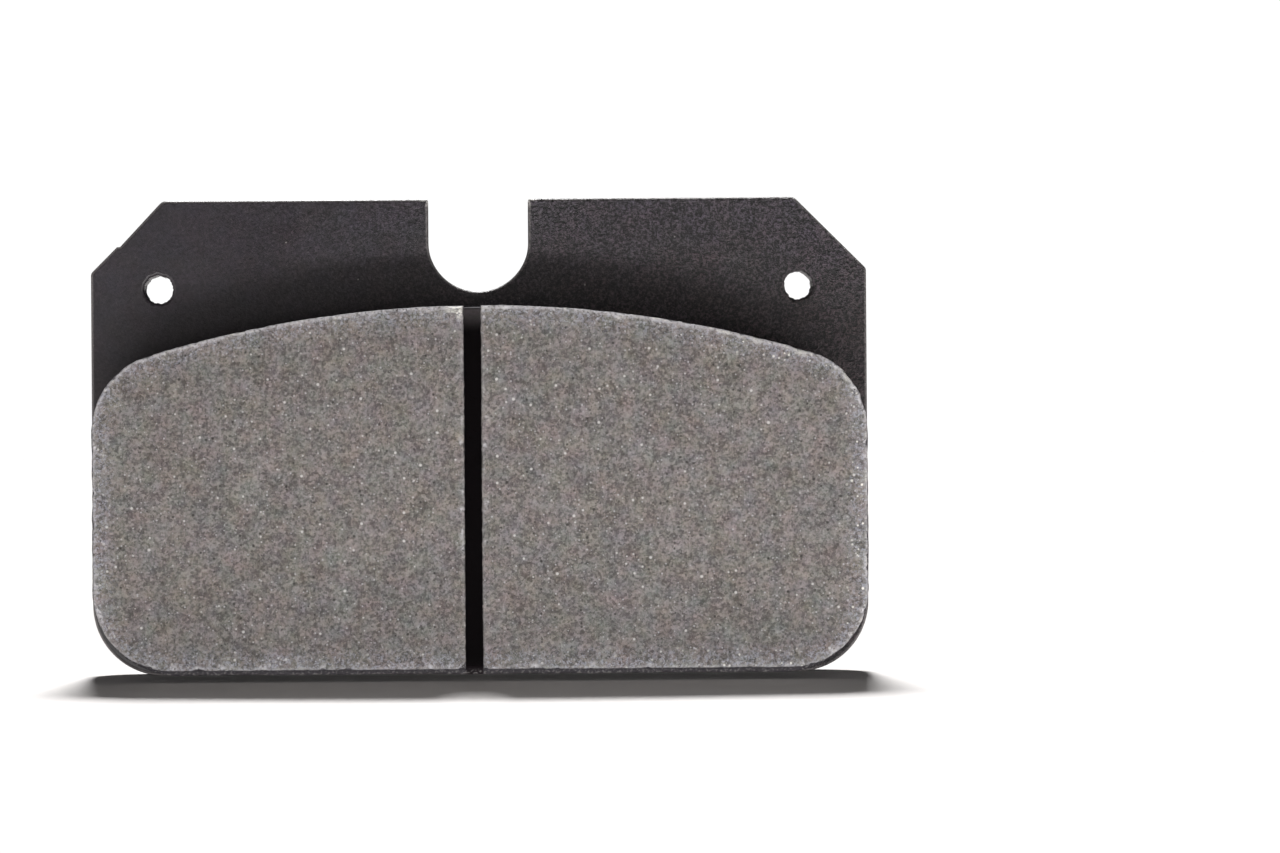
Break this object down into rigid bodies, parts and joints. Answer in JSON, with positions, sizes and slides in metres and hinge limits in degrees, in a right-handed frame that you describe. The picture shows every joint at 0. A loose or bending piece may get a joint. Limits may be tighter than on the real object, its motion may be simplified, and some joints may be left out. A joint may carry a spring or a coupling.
{
  "type": "brake pad",
  "caption": "Flat disc-brake pad: steel backing plate with pin holes and a top notch, carrying a curved-top friction block split by a centre slot.",
  "frame": {"origin": "middle of the bounding box's base, under the pad's bottom edge", "axes": "+X along the pad's length, +Z away from the wheel's centre, with the notch at the top, and -Y out of the friction face towards the disc"},
  "size_m": [0.1316, 0.0206, 0.0805],
  "materials": {
    "black_paint": "satin",
    "adhesive": "satin",
    "underlayer_compound": "matte",
    "friction_compound": "matte"
  },
  "bodies": {
    "root": {"backing_plate": "black_paint", "adhesive_film": "adhesive", "underlayer": "underlayer_compound", "friction_segment_left": "friction_compound", "friction_segment_right": "friction_compound"}
  },
  "joints": []
}
